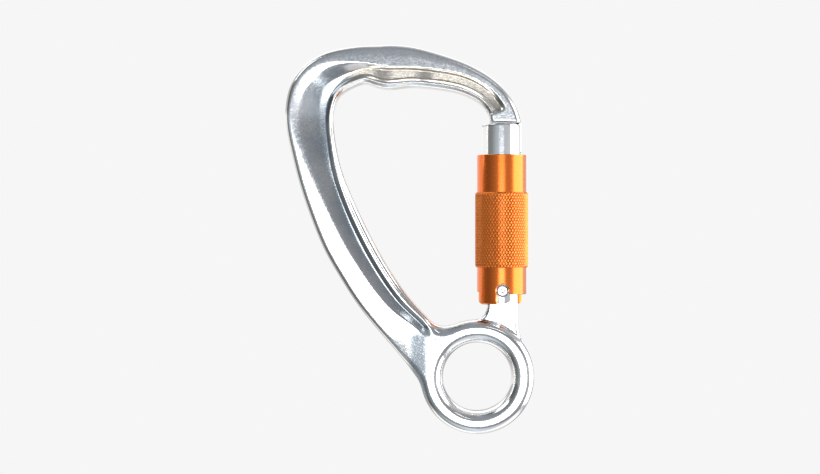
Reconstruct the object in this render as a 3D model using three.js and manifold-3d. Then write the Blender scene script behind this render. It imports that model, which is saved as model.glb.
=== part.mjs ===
// Locking carabiner: a forged aluminium connector body with a captive eye, a hinged round gate, and a
// spring-loaded sleeve that is lifted and twisted before the gate opens.
//
// Millimetres, +Z up. X runs across the body from the spine to the gate, and Y through its thickness.
// The drawing is laid out from the centre of the captive eye; the finished part is then moved so that its
// origin is the highest point of the basket, where the connector hangs.

import * as THREE from "three";
import { mergeVertices } from "three/addons/utils/BufferGeometryUtils.js";
import Module from "manifold-3d";

const wasm = await Module();
wasm.setup();

// ---- Driving dimensions -------------------------------------------------------------------------------

const CLEARANCE = 0.3; // between neighbouring pieces that don't turn in each other
const SPRING_GAP = 0.15; // between a spring's end and what it stands on
const OVERLAP = 1; // how far two solids that become one run into each other
const BEYOND = 40; // how far a cutting tool reaches past what it cuts

// Facets round a full turn
const LARGE_ROUND = 72;
const ROUND = 48;
const SMALL_ROUND = 32;
const TINY_ROUND = 24;

// Forged body
const BODY_HALF = 6.0; // half of the body's thickness
const BODY_EDGE = 1.8; // rounding of the body's long edges
const EYE_BORE_R = 12.4;
const EYE_LIP_R = 15.6; // where the bore's rounded mouth meets the flat face
const EYE_OUTER_R = 20.5;
const EYE_EDGE = 2.2; // rounding of the eye's outer edge
const BASKET_TOP = { x: -41.4, z: 105.75 }; // the highest point of the basket: the part's origin

// Centre line of the body from the nose to the eye: x, z and the width across the body there
const BODY_STATIONS = [
  [10.3, 86.0, 11.2],
  [10.2, 91.3, 11.1],
  [8.3, 97.3, 10.2],
  [4.2, 102.5, 9.7],
  [-2.5, 106.6, 10.3],
  [-10.4, 109.3, 11.6],
  [-24.0, 111.9, 14.2],
  [-32.5, 111.7, 15.8],
  [-36.4, 112.2, 14.6],
  [-41.5, 112.5, 13.5],
  [-50.2, 110.4, 15.1],
  [-59.2, 102.1, 17.4],
  [-60.6, 93.0, 17.2],
  [-58.9, 81.4, 16.1],
  [-56.2, 70.8, 15.9],
  [-52.0, 59.7, 16.6],
  [-47.6, 49.8, 17.0],
  [-42.5, 40.5, 16.7],
  [-36.8, 31.4, 16.5],
  [-30.8, 23.5, 16.2],
  [-23.0, 14.7, 16.4],
];
const BODY_STEPS = 72; // facets along each edge
// Where the body's two edges run on into the eye
const OUTER_TAIL = [[-24.3, 3.1], [-20.6, -3.2], [-14.0, -3.0]];
const INNER_TAIL = [[-2.0, 12.0], [-3.2, 18.9], [-7.6, 18.1], [-12.1, 18.5]];

// Channel forged into both faces, from the nose round to the eye
const CHANNEL_DEPTH = 1.6;
const CHANNEL_FROM = 0.06; // as a share of the centre line's length
const CHANNEL_TO = 0.95;
const CHANNEL_OUTER = -0.05; // offset from the centre line, as a share of the half width
const CHANNEL_INNER = 0.64;
const CHANNEL_SLOPE = 1.0; // width of the channel's sloping walls
const CHANNEL_TOOL_HALF = 3.0; // half the height of the tool that cuts it
const CHANNEL_STEPS = 44;

// Hinge, gate barrel and the tang between its ears; heights are above the hinge
const HINGE = { x: 8.9, z: 31.2 };
const RIVET_R = 1.5;
const RIVET_HOLE_R = 1.58;
const RIVET_HEAD_R = 1.9;
const RIVET_HEAD_SEAT = 6.2;
const RIVET_HEAD_TOP = 7.0;
const RIVET_HEAD_CHAMFER = 0.35;
const RIVET_RECESS_SEAT = 6.1; // floor of the recess under each head
const RIVET_DIMPLE_R = 0.8;
const BARREL_R = 7.05;
const BARREL_TOP = 60.4; // radius of the gate's swept tip about the hinge
const EAR_R = 6.0; // the clevis ears' rounded end
const EAR_FOOT = -4.7;
const SLOT_HALF = 3.35; // half of the clevis slot's width
const SLOT_TOP = 7.6;
const TANG_HALF = 3.0;
const NECK_LEFT = -5.35;
const NECK_RIGHT = 5.8;
const NECK_FOOT = -15.0;
const NECK_EDGE = 0.8; // rounding of the neck's long edges
const OUTER_FILLET = { r: 22, z: -10 }; // the neck's flare on its gate side: radius, height of its centre
const INNER_FILLET = { r: 5.6, z: -5.5 }; // and on its inner side
const SWING_DEG = 32; // how far the gate opens
const CAM_LOW = 5.0; // the tang's cam under the plunger, gate shut
const CAM_RISE = 1.6; // how much higher it stands with the gate open
const CAM_OVERRUN_DEG = 8; // how far the cam runs on past the open gate

// Nose tongue, which lies in a groove in the gate's outer side
const TONGUE_HALF = 2.0;
const TONGUE_FOOT = 49.75;
const TONGUE_IN = 5.0;
const TONGUE_OUT = 7.1;
const GROOVE_FOOT = 47.5;

// Plunger and gate spring in the barrel's bore
const BORE_R = 2.7;
const BORE_TOP = 32.5;
const PLUNGER_R = 2.4;
const PLUNGER_TIP_R = 1.2;
const PLUNGER_TIP = CAM_LOW + 0.35;
const PLUNGER_SHOULDER = 7.75; // where the tip's cone reaches the full radius
const PLUNGER_TOP = 12.0;
const SPIGOT_R = 1.2;
const SPIGOT_TOP = 15.0;
const GATE_COIL_R = 1.9;
const GATE_WIRE_R = 0.3;
const GATE_COIL_TURNS = 10;

// Sleeve spring, its seat ring and the guide pin
const WAIST_R = 5.4; // the barrel's reduced waist, which holds the sleeve spring
const WAIST_FOOT = 12.0;
const WAIST_TOP = 27.0;
const RING_FOOT = 12.5;
const RING_TOP = 13.7;
const RING_IN = 5.65;
const RING_OUT = 7.75;
const RING_SPLIT = 2.0;
const SLEEVE_COIL_R = 6.3;
const SLEEVE_WIRE_R = 0.45;
const SLEEVE_COIL_TURNS = 5;
const PIN_Z = 31.5;
const PIN_R = 1.0;
const PIN_IN = 3.6;
const PIN_OUT = 8.1;
const PIN_HOLE_PLAY = 0.05;

// Locking sleeve
const SLEEVE_BORE_R = 7.4;
const SLEEVE_FOOT = -5.0;
const SLEEVE_STEP = -1.35; // the cut-away part of the foot
const SLEEVE_TOP = 49.0;
const KNURL_FOOT = 8.2;
const KNURL_TOP = 35.5;
const LOWER_COLLAR_R = 8.95;
const KNURL_R = 9.6;
const UPPER_COLLAR_R = 9.0;
const SLEEVE_CHAMFER = 0.4;
const RING_GROOVE_R = 8.05;
const PIN_POCKET_R = 8.45;
const PIN_POCKET_PLAY = 0.4; // room above and below the pin
const PIN_POCKET_PLAY_DEG = 11; // and at either end of its turn
const LIFT = 3.5; // how far the sleeve lifts
const TWIST_DEG = 102; // how far it then turns
const NOTCH_R = 2.35; // keyhole notch round the rivet's head
const THROAT_TOP = -0.82; // the notch's open way out through the foot
const NOTCH_FROM_DEG = -14.5; // angles round the sleeve: 0 faces the front, 90 the gate's outer side
const STEP_FROM_DEG = 20;
const STEP_TO_DEG = 117;
const WINDOW_TOP = -0.6; // opening in the foot that the neck passes through as the gate swings
const WINDOW_HALF = 3.45;
const TOP_SLOT_HALF = 2.45; // slot that lines up with the nose's tongue once the sleeve is twisted
const TOP_SLOT_FOOT = 42.0;

// ---- Solid helpers ------------------------------------------------------------------------------------

const radians = THREE.MathUtils.degToRad;

function solidFrom(geometry) {
  const bare = geometry.index ? geometry.toNonIndexed() : geometry.clone();
  bare.deleteAttribute("normal");
  bare.deleteAttribute("uv");
  const merged = mergeVertices(bare, 1e-4);
  const mesh = new wasm.Mesh({
    numProp: 3,
    vertProperties: new Float32Array(merged.attributes.position.array),
    triVerts: new Uint32Array(merged.index.array),
  });
  return new wasm.Manifold(mesh);
}

function geometryFrom(solid) {
  const mesh = solid.getMesh();
  const geometry = new THREE.BufferGeometry();
  geometry.setAttribute("position", new THREE.BufferAttribute(mesh.vertProperties, 3));
  geometry.setIndex(new THREE.BufferAttribute(mesh.triVerts, 1));
  return geometry;
}

function cut(solid, ...tools) {
  return tools.reduce((left, tool) => left.subtract(tool), solid);
}

function join(solid, ...others) {
  return others.reduce((whole, other) => whole.add(other), solid);
}

// A plate drawn in X and Z, centred on Y = middle, with its edges rounded by "edge".
function plate(points, halfThickness, edge = 0, middle = 0) {
  const shape = new THREE.Shape(points.map(([x, z]) => new THREE.Vector2(x, z)));
  const geometry = new THREE.ExtrudeGeometry(shape, {
    depth: 2 * (halfThickness - edge),
    bevelEnabled: edge > 0,
    bevelThickness: edge,
    bevelSize: edge,
    bevelOffset: -edge,
    bevelSegments: 2,
  });
  geometry.translate(0, 0, edge - halfThickness);
  geometry.rotateX(Math.PI / 2);
  geometry.translate(0, middle, 0);
  return solidFrom(geometry);
}

// Solids of revolution. The profile is a list of [radius, distance along the axis] that closes on itself.
function lathe(profile, sides) {
  const closed = [...profile, profile[0]].map(([r, h]) => new THREE.Vector2(r, h));
  return new THREE.LatheGeometry(closed, sides);
}

function turnedAboutY(profile, sides = ROUND) {
  return solidFrom(lathe(profile, sides));
}

function turned(profile, sides = ROUND) {
  return solidFrom(lathe(profile, sides).rotateX(Math.PI / 2));
}

function rod(radius, foot, top, sides = ROUND) {
  return turned([[0, foot], [radius, foot], [radius, top], [0, top]], sides);
}

// A round rod along Y through x, z.
function crossRod(radius, yFrom, yTo, x = 0, z = 0, sides = SMALL_ROUND) {
  const geometry = new THREE.CylinderGeometry(radius, radius, yTo - yFrom, sides);
  geometry.translate(x, (yFrom + yTo) / 2, z);
  return solidFrom(geometry);
}

function block(x, y, z) {
  const geometry = new THREE.BoxGeometry(x[1] - x[0], y[1] - y[0], z[1] - z[0]);
  geometry.translate((x[0] + x[1]) / 2, (y[0] + y[1]) / 2, (z[0] + z[1]) / 2);
  return solidFrom(geometry);
}

// A wedge of a disc round the gate's axis, between two sleeve angles and two heights.
function wedge(fromDeg, toDeg, foot, top, radius = BEYOND) {
  const steps = Math.ceil((toDeg - fromDeg) / 10);
  const rim = Array.from({ length: steps + 1 }, (_, i) => {
    const angle = radians(fromDeg + ((toDeg - fromDeg) * i) / steps);
    return new THREE.Vector2(radius * Math.sin(angle), -radius * Math.cos(angle));
  });
  const shape = new THREE.Shape([new THREE.Vector2(0, 0), ...rim]);
  const geometry = new THREE.ExtrudeGeometry(shape, { depth: top - foot, bevelEnabled: false });
  geometry.translate(0, 0, foot);
  return solidFrom(geometry);
}

// Points along an arc in X and Z.
function arc(x, z, radius, fromDeg, toDeg, steps) {
  return Array.from({ length: steps + 1 }, (_, i) => {
    const angle = radians(fromDeg + ((toDeg - fromDeg) * i) / steps);
    return [x + radius * Math.cos(angle), z + radius * Math.sin(angle)];
  });
}

class Helix extends THREE.Curve {
  constructor(radius, foot, top, turns) {
    super();
    Object.assign(this, { radius, foot, top, turns });
  }

  getPoint(t, target = new THREE.Vector3()) {
    const angle = 2 * Math.PI * this.turns * t;
    const z = this.foot + (this.top - this.foot) * t;
    return target.set(this.radius * Math.cos(angle), this.radius * Math.sin(angle), z);
  }
}

function coil(radius, wireR, foot, top, turns, stepsPerTurn) {
  const path = new Helix(radius, foot + wireR, top - wireR, turns);
  const section = new THREE.Shape(arc(0, 0, wireR, 0, 300, 5).map(([x, z]) => new THREE.Vector2(x, z)));
  return new THREE.ExtrudeGeometry(section, { steps: turns * stepsPerTurn, extrudePath: path });
}

// ---- Forged body --------------------------------------------------------------------------------------

const centreLine = new THREE.SplineCurve(BODY_STATIONS.map(([x, z]) => new THREE.Vector2(x, z)));
const widthCurve = new THREE.SplineCurve(BODY_STATIONS.map(([, , width], i) => new THREE.Vector2(i, width)));

// The point at a share of the centre line's length, moved sideways: +1 is the inner edge, -1 the outer edge.
function across(share, side) {
  const t = centreLine.getUtoTmapping(share);
  const centre = centreLine.getPoint(t);
  const along = centreLine.getTangent(t);
  const reach = (side * widthCurve.getPoint(t).y) / 2;
  return [centre.x - along.y * reach, centre.y + along.x * reach];
}

function edgeLine(from, to, side, steps) {
  return Array.from({ length: steps + 1 }, (_, i) => across(from + ((to - from) * i) / steps, side));
}

function bodyPlate() {
  const outer = edgeLine(0, 1, -1, BODY_STEPS);
  const inner = edgeLine(1, 0, 1, BODY_STEPS);
  return plate([...outer, ...OUTER_TAIL, ...INNER_TAIL, ...inner], BODY_HALF, BODY_EDGE);
}

// The channel's tool on one face, with sloping walls.
function channel(face) {
  const far = edgeLine(CHANNEL_FROM, CHANNEL_TO, CHANNEL_OUTER, CHANNEL_STEPS);
  const near = edgeLine(CHANNEL_TO, CHANNEL_FROM, CHANNEL_INNER, CHANNEL_STEPS);
  const middle = face * (BODY_HALF - CHANNEL_DEPTH + CHANNEL_TOOL_HALF);
  return plate([...far, ...near], CHANNEL_TOOL_HALF, CHANNEL_SLOPE, middle);
}

// A rounded disc for the eye, lying in the body's plane.
function eyeDisc() {
  const e = EYE_EDGE;
  const edge = arc(EYE_OUTER_R - e, BODY_HALF - e, e, 0, 90, 3);
  const profile = [[0, -BODY_HALF], ...edge.map(([r, y]) => [r, -y]).reverse(), ...edge, [0, BODY_HALF]];
  return turnedAboutY(profile, LARGE_ROUND);
}

// The bore with its rounded mouths.
function eyeBore() {
  const lip = EYE_LIP_R - EYE_BORE_R;
  const mouth = arc(EYE_LIP_R, BODY_HALF - lip, lip, 180, 90, 4);
  const upper = [...mouth, [EYE_LIP_R, BEYOND], [0, BEYOND]];
  const lower = upper.map(([r, y]) => [r, -y]).reverse();
  return turnedAboutY([...lower, ...upper], LARGE_ROUND);
}

// The cam on the neck's top, from the shut gate's side to the open one's.
function camEdge(steps) {
  return Array.from({ length: steps + 1 }, (_, i) => {
    const turn = ((SWING_DEG + CAM_OVERRUN_DEG) * i) / steps;
    const radius = CAM_LOW + (CAM_RISE * turn) / SWING_DEG;
    const angle = radians(90 + turn);
    return [radius * Math.cos(angle), radius * Math.sin(angle)];
  });
}

// The neck and its tang: the cam on its top lifts the plunger as the gate opens.
function neck() {
  const rightShoulder = arc(0, 0, CAM_LOW, 50, 80, 3);
  const outerFlare = arc(NECK_RIGHT + OUTER_FILLET.r, OUTER_FILLET.z, OUTER_FILLET.r, 204, 180, 4);
  const innerFlare = arc(NECK_LEFT - INNER_FILLET.r, INNER_FILLET.z, INNER_FILLET.r, 0, -64, 4);
  const outline = [
    [NECK_LEFT, NECK_FOOT],
    [0, NECK_FOOT],
    ...outerFlare,
    [NECK_RIGHT, 0],
    ...rightShoulder,
    ...camEdge(8),
    [NECK_LEFT, 2.2],
    ...innerFlare,
  ];
  const solid = plate(outline, TANG_HALF, NECK_EDGE);
  const bore = crossRod(RIVET_HOLE_R, -BEYOND, BEYOND);
  return cut(solid, bore).translate([HINGE.x, 0, HINGE.z]);
}

// The nose's tongue stops just above the sleeve.
function tongue() {
  const x = [HINGE.x + TONGUE_IN, HINGE.x + TONGUE_OUT];
  const z = [HINGE.z + TONGUE_FOOT, HINGE.z + BARREL_TOP + 3 * OVERLAP];
  return block(x, [-TONGUE_HALF, TONGUE_HALF], z);
}

// The space that the gate's tip sweeps: the nose ends on it.
function tipSweep() {
  const radius = BARREL_TOP + CLEARANCE;
  const reach = arc(0, 0, radius, 60, 120, 36);
  const space = plate([[0, 0], ...reach], BEYOND).translate([HINGE.x, 0, HINGE.z]);
  const x = [HINGE.x + TONGUE_IN, HINGE.x + BEYOND];
  const z = [HINGE.z, HINGE.z + 2 * BARREL_TOP];
  return space.subtract(block(x, [-TONGUE_HALF, TONGUE_HALF], z));
}

function frameBody() {
  const forging = cut(join(bodyPlate(), eyeDisc()), eyeBore(), channel(-1), channel(1));
  return join(forging.subtract(tipSweep()), neck().subtract(eyeBore()), tongue());
}

// ---- Gate ---------------------------------------------------------------------------------------------

function earBlank() {
  const foot = arc(0, EAR_FOOT + EAR_R, EAR_R, 180, 360, 20);
  return plate([...foot, [EAR_R, SLOT_TOP + OVERLAP], [-EAR_R, SLOT_TOP + OVERLAP]], BEYOND);
}

// The round bar with its ears at the foot and its tip rounded to its own path.
function barrelBlank() {
  const stem = rod(BARREL_R, EAR_FOOT - OVERLAP, BARREL_TOP + OVERLAP);
  const aboveSlot = block([-BEYOND, BEYOND], [-BEYOND, BEYOND], [SLOT_TOP, BARREL_TOP + OVERLAP]);
  const tip = plate([[0, 0], ...arc(0, 0, BARREL_TOP, 75, 105, 12)], BEYOND);
  return join(stem.intersect(tip).intersect(aboveSlot), stem.intersect(earBlank()));
}

function waistCut() {
  return turned([
    [WAIST_R, WAIST_FOOT],
    [BEYOND, WAIST_FOOT],
    [BEYOND, WAIST_TOP],
    [WAIST_R, WAIST_TOP],
  ]);
}

// The groove that the nose's tongue lies in.
function grooveCut() {
  const half = TONGUE_HALF + CLEARANCE;
  return block([TONGUE_IN - CLEARANCE, BEYOND], [-half, half], [GROOVE_FOOT, BARREL_TOP + OVERLAP]);
}

// The rivet's hole and the two recesses under its heads.
function rivetCuts() {
  const recess = RIVET_HEAD_R + CLEARANCE;
  return [
    crossRod(RIVET_HOLE_R, -BEYOND, BEYOND),
    crossRod(recess, -BEYOND, -RIVET_RECESS_SEAT),
    crossRod(recess, RIVET_RECESS_SEAT, BEYOND),
  ];
}

function gateBarrel() {
  const slot = block([-BEYOND, BEYOND], [-SLOT_HALF, SLOT_HALF], [-BEYOND, SLOT_TOP]);
  const bore = rod(BORE_R, 0, BORE_TOP, SMALL_ROUND);
  const pinHole = crossRod(PIN_R + PIN_HOLE_PLAY, PIN_IN - CLEARANCE, BEYOND, 0, PIN_Z, TINY_ROUND);
  return cut(barrelBlank(), waistCut(), slot, grooveCut(), bore, pinHole, ...rivetCuts());
}

function hingeRivet() {
  const c = RIVET_HEAD_CHAMFER;
  const half = [
    [RIVET_R, RIVET_HEAD_SEAT],
    [RIVET_HEAD_R, RIVET_HEAD_SEAT],
    [RIVET_HEAD_R, RIVET_HEAD_TOP - c],
    [RIVET_HEAD_R - c, RIVET_HEAD_TOP],
    [RIVET_DIMPLE_R, RIVET_HEAD_TOP],
    [RIVET_DIMPLE_R - c, RIVET_HEAD_TOP - c],
    [0, RIVET_HEAD_TOP - c],
  ];
  const other = half.map(([r, y]) => [r, -y]).reverse();
  return turnedAboutY([...other, ...half], TINY_ROUND);
}

function gatePlunger() {
  const tip = arc(0, PLUNGER_TIP + PLUNGER_TIP_R, PLUNGER_TIP_R, 270, 345, 5);
  return turned(
    [
      ...tip,
      [PLUNGER_R, PLUNGER_SHOULDER],
      [PLUNGER_R, PLUNGER_TOP],
      [SPIGOT_R, PLUNGER_TOP],
      [SPIGOT_R, SPIGOT_TOP],
      [0, SPIGOT_TOP],
    ],
    SMALL_ROUND,
  );
}

function gateSpring() {
  const foot = PLUNGER_TOP + SPRING_GAP;
  const top = BORE_TOP - SPRING_GAP;
  return coil(GATE_COIL_R, GATE_WIRE_R, foot, top, GATE_COIL_TURNS, 10);
}

function guidePin() {
  return crossRod(PIN_R, PIN_IN, PIN_OUT, 0, PIN_Z, TINY_ROUND);
}

// ---- Sleeve -------------------------------------------------------------------------------------------

function sleeveBlank() {
  const c = SLEEVE_CHAMFER;
  return turned(
    [
      [SLEEVE_BORE_R, SLEEVE_FOOT],
      [LOWER_COLLAR_R - c, SLEEVE_FOOT],
      [LOWER_COLLAR_R, SLEEVE_FOOT + c],
      [LOWER_COLLAR_R, KNURL_FOOT],
      [KNURL_R - c, KNURL_FOOT],
      [KNURL_R, KNURL_FOOT + c],
      [KNURL_R, KNURL_TOP - c],
      [KNURL_R - c, KNURL_TOP],
      [UPPER_COLLAR_R, KNURL_TOP],
      [UPPER_COLLAR_R, SLEEVE_TOP - c],
      [UPPER_COLLAR_R - c, SLEEVE_TOP],
      [SLEEVE_BORE_R, SLEEVE_TOP],
      [SLEEVE_BORE_R, RING_TOP + CLEARANCE],
      [RING_GROOVE_R, RING_TOP + CLEARANCE],
      [RING_GROOVE_R, RING_FOOT - CLEARANCE],
      [SLEEVE_BORE_R, RING_FOOT - CLEARANCE],
    ],
    LARGE_ROUND,
  );
}

// The foot is stepped up at its outer side, notched round each rivet head, and open where the neck passes.
function footCuts() {
  const step = wedge(STEP_FROM_DEG, STEP_TO_DEG, -BEYOND, SLEEVE_STEP);
  const throat = wedge(NOTCH_FROM_DEG, STEP_FROM_DEG + 1, -BEYOND, THROAT_TOP);
  const keyhole = crossRod(NOTCH_R, -BEYOND, 0);
  const neckWindow = block([-BEYOND, 0], [-WINDOW_HALF, WINDOW_HALF], [-BEYOND, WINDOW_TOP]);
  const backKeyhole = crossRod(NOTCH_R, 0, BEYOND);
  const backThroat = block([-NOTCH_R, NOTCH_R], [0, BEYOND], [-BEYOND, 0]);
  return [step, throat, keyhole, neckWindow, backKeyhole, backThroat];
}

// The pocket inside the sleeve that the guide pin travels in.
function pinPocket() {
  const play = PIN_R + PIN_POCKET_PLAY;
  const from = 180 - PIN_POCKET_PLAY_DEG;
  const to = 180 + TWIST_DEG + PIN_POCKET_PLAY_DEG;
  return wedge(from, to, PIN_Z - LIFT - play, PIN_Z + play, PIN_POCKET_R);
}

function lockSleeve() {
  const slot = block([-TOP_SLOT_HALF, TOP_SLOT_HALF], [0, BEYOND], [TOP_SLOT_FOOT, SLEEVE_TOP + OVERLAP]);
  const turnedSlot = slot.rotate([0, 0, TWIST_DEG - 90]);
  return cut(sleeveBlank(), ...footCuts(), pinPocket(), turnedSlot);
}

function seatRing() {
  const ring = turned(
    [[RING_IN, RING_FOOT], [RING_OUT, RING_FOOT], [RING_OUT, RING_TOP], [RING_IN, RING_TOP]],
    LARGE_ROUND,
  );
  return ring.subtract(block([0, BEYOND], [-RING_SPLIT / 2, RING_SPLIT / 2], [0, BEYOND]));
}

function sleeveSpring() {
  const foot = RING_TOP + SPRING_GAP;
  const top = WAIST_TOP - SPRING_GAP;
  return coil(SLEEVE_COIL_R, SLEEVE_WIRE_R, foot, top, SLEEVE_COIL_TURNS, 18);
}

// ---- Assembly -----------------------------------------------------------------------------------------

const polishedAluminium = { color: 0xc9ced4, roughness: 0.22, metalness: 1.0 };
const orangeAnodised = { color: 0xe87424, roughness: 0.32, metalness: 0.9 };
const springSteel = { color: 0x8a8d92, roughness: 0.35, metalness: 1.0 };

function piece(name, shape, look) {
  const geometry = shape.isBufferGeometry ? shape : geometryFrom(shape);
  const mesh = new THREE.Mesh(geometry, new THREE.MeshStandardMaterial(look));
  mesh.name = name;
  return mesh;
}

const gate = new THREE.Group();
gate.position.set(HINGE.x, 0, HINGE.z);
gate.add(
  piece("gate_barrel", gateBarrel(), polishedAluminium),
  piece("gate_plunger", gatePlunger(), springSteel),
  piece("gate_spring", gateSpring(), springSteel),
  piece("sleeve_guide_pin", guidePin(), springSteel),
  piece("sleeve_spring", sleeveSpring(), springSteel),
  piece("spring_seat_ring", seatRing(), springSteel),
  piece("lock_sleeve", lockSleeve(), orangeAnodised),
  piece("hinge_rivet", hingeRivet(), polishedAluminium),
);

const drawing = new THREE.Group();
drawing.position.set(-BASKET_TOP.x, 0, -BASKET_TOP.z);
drawing.add(piece("frame_body", frameBody(), polishedAluminium), gate);

const carabiner = new THREE.Group();
carabiner.add(drawing);

export default carabiner;
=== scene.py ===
"""Looks of the locking carabiner: the forged body, the round gate and the knurled sleeve are rebuilt as
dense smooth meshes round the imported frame, and the small parts inside them are rebuilt beside them.

The shapes are written in millimetres. The body is drawn from the centre of its eye, and everything on the
gate from the centre of the hinge. Both places come from the frame.
"""

import math

import bmesh
import bpy
import numpy as np
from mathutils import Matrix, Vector


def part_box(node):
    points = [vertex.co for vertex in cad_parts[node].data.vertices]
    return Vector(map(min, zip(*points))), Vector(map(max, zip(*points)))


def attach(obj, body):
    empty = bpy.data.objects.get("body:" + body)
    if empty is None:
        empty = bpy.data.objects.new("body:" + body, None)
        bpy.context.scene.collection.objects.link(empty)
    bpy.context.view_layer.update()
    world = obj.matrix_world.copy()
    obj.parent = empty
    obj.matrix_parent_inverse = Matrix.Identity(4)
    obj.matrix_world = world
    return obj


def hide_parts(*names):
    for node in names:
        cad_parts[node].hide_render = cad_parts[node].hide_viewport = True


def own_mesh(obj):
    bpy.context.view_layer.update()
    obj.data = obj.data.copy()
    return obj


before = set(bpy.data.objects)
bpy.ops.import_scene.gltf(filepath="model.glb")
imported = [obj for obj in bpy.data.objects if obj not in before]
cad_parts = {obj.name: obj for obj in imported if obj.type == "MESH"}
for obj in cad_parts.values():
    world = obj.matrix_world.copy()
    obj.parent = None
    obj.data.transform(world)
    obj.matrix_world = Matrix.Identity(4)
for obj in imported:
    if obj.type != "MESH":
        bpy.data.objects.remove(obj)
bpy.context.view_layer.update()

MM = 0.001
CELL = 0.45  # grid of the forged body's mesh
FINE_CELL = 0.3  # grid of the gate's and the sleeve's
RING_CELL = FINE_CELL * 0.9  # grid of the split ring's
SHARP_DEG = 32  # edges of the small turned parts that are sharper than this stay sharp
MERGE = 1e-7  # metres; points closer than this become one

# ---- Driving sizes, in millimetres ---------------------------------------------------------------------

BODY_HALF = 6.0
BODY_EDGE = 1.7  # rounding of the body's long edges
EYE_BORE_R = 12.4
EYE_OUTER_R = 20.5
EYE_EDGE = 3.0  # rounding of the eye's outer edge
EYE_EDGE_FROM = (EYE_OUTER_R + 9, EYE_OUTER_R + 1)  # the body's edge widens to it towards the eye's centre
EYE_BLEND_IN = 7.0  # fillet where the body's inner edge runs into the eye
EYE_BLEND_OUT = 1.4  # and its outer edge
EYE_BLEND_SIDE = 3.0  # the one turns into the other within this distance of the centre line
MOUTH_LIP = 4.4  # rounding of the bore's mouth
MOUTH_RISE = 0.15  # its tangent lies this far above the face, so the two meet in a faint crease
MOUTH_JOIN = 0.25  # which is softened by this
HINGE_X, HINGE_Z = 8.9, 31.2  # the hinge, from the eye's centre

# The forged body's sections, from the nose to the eye: x, z, width, then how far the channel lies from the
# outer edge and from the inner edge, how wide its outer slope is, and how deep it is.
NOSE = [
    [10.3, 86.0, 11.2, 3.4, 2.0, 1.4, 0.0],
    [10.2, 91.3, 11.1, 3.4, 2.0, 1.4, 0.0],
    [8.3, 97.3, 10.1, 3.5, 1.8, 1.4, 1.1],
    [4.2, 102.5, 9.7, 3.5, 1.4, 1.1, 1.3],
]
ARM = [
    [-2.5, 106.6, 10.3, 3.9, 1.5, 1.0, 1.4],
    [-10.4, 109.3, 11.6, 5.0, 1.6, 1.0, 1.4],
    [-24.0, 111.9, 14.2, 7.3, 1.6, 1.0, 1.4],
    [-32.5, 111.7, 15.9, 7.9, 1.8, 1.1, 1.4],
    [-36.4, 112.3, 14.3, 7.2, 1.7, 1.2, 1.4],
    [-41.6, 112.75, 13.0, 6.2, 1.5, 1.7, 1.4],
]
CORNER = [
    [-50.2, 110.4, 15.1, 5.2, 1.5, 4.8, 1.6],
    [-55.5, 107.3, 16.5, 4.2, 1.3, 8.2, 1.8],
    [-59.3, 102.1, 17.5, 3.9, 1.2, 9.4, 1.9],
    [-60.7, 93.0, 17.1, 4.0, 1.2, 9.2, 1.9],
]
SPINE = [
    [-58.9, 81.4, 16.1, 5.0, 1.5, 7.2, 1.8],
    [-56.2, 70.8, 15.9, 6.1, 2.1, 5.4, 1.7],
    [-52.0, 59.7, 16.6, 7.2, 2.7, 4.4, 1.5],
    [-47.6, 49.8, 17.1, 7.8, 2.9, 3.9, 1.4],
    [-42.5, 40.5, 16.7, 8.0, 2.9, 3.5, 1.4],
    [-36.8, 31.4, 16.5, 8.3, 2.8, 3.2, 1.3],
    [-30.8, 23.5, 16.1, 8.8, 2.6, 3.0, 1.2],
    [-23.0, 14.7, 16.4, 11.2, 1.8, 2.0, 1.0],
]
INTO_EYE = [
    [-17.0, 7.6, 17.0, 10.0, 2.4, 2.6, 0.0],
    [-12.0, 0.5, 17.0, 10.0, 2.4, 2.6, 0.0],
]
SECTIONS = NOSE + ARM + CORNER + SPINE + INTO_EYE
LINE_SAMPLES = 4096  # along the centre line
LINE_SOFT = 42  # samples of smoothing along it
LINE_COARSE = 16  # every which sample is tried first in the search for the nearest one
POINTS_AT_ONCE = 20000  # that search takes this many points at a time
CHANNEL_START = 9.6  # the channel's rounded end, from the nose's end of the centre line
CHANNEL_NOSE = 2.2  # how far the rounding of that end reaches
CHANNEL_END = 190.0  # its other end, towards the eye
CHANNEL_FADE = 5.0  # where the floor comes up to the face over this length
RIM_FADE = 26.0  # the lowered inner rim comes up to the face over this length
CHANNEL_WALL = 1.3  # width of its steep inner wall
SLOPE_WIDTHS, SLOPE_CORNERS = (1.0, 4.0), (0.08, 0.25)  # a wide outer slope has softer corners
POCKET_TILT = 0.02  # how the pocket's floor leans, as a slope
POCKET_WAVE = 0.045  # and how much it leans back in the waves along it
POCKET_WAVE_AT = 42.7  # middle of the first wave
POCKET_WAVE_LENGTH = 15.8  # from one wave to the next
POCKET_WAVE_POWER = 4  # how narrow they are
POCKET_WAVES_FROM = (POCKET_WAVE_AT - 15, POCKET_WAVE_AT - 7)  # they set in over this stretch
RIM_DROP = 0.35  # how much lower the inner rim lies than the outer band
RIM_STEP = 0.35  # a second step down, part of the way across the rim
RIM_STEP_AT = 0.48
RIM_STEP_WIDTH = 0.6
POCKET_END = (68.0, 80.0)  # where the arm's pocket, with its painted cream reflection, turns into the spine's channel with its painted shade
BAND_CROWN = 0.3  # how much the outer band falls towards the outer edge
BAND_CROWN_SHARE = 0.6  # over this share of its width
BAND_CROWN_FROM = (EYE_OUTER_R, EYE_OUTER_R + 6)  # it sets in between these distances from the eye's centre
VALLEY = 0.8  # shallow trough across the body's foot, beside the eye
VALLEY_X = (-42.0, -25.0, -17.3)  # where it starts, is deepest and ends
VALLEY_Z = (0.0, 19.0)  # it fades out over these heights
PATCH_LEFT = (VALLEY_X[1] - 1.5, VALLEY_X[1] + 3)  # its patch of painted shade and coarse grain sets in over these places
PATCH_RIGHT = (VALLEY_X[2] + 0.7, VALLEY_X[2] - 2.7)  # and, from the right, over these
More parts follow.
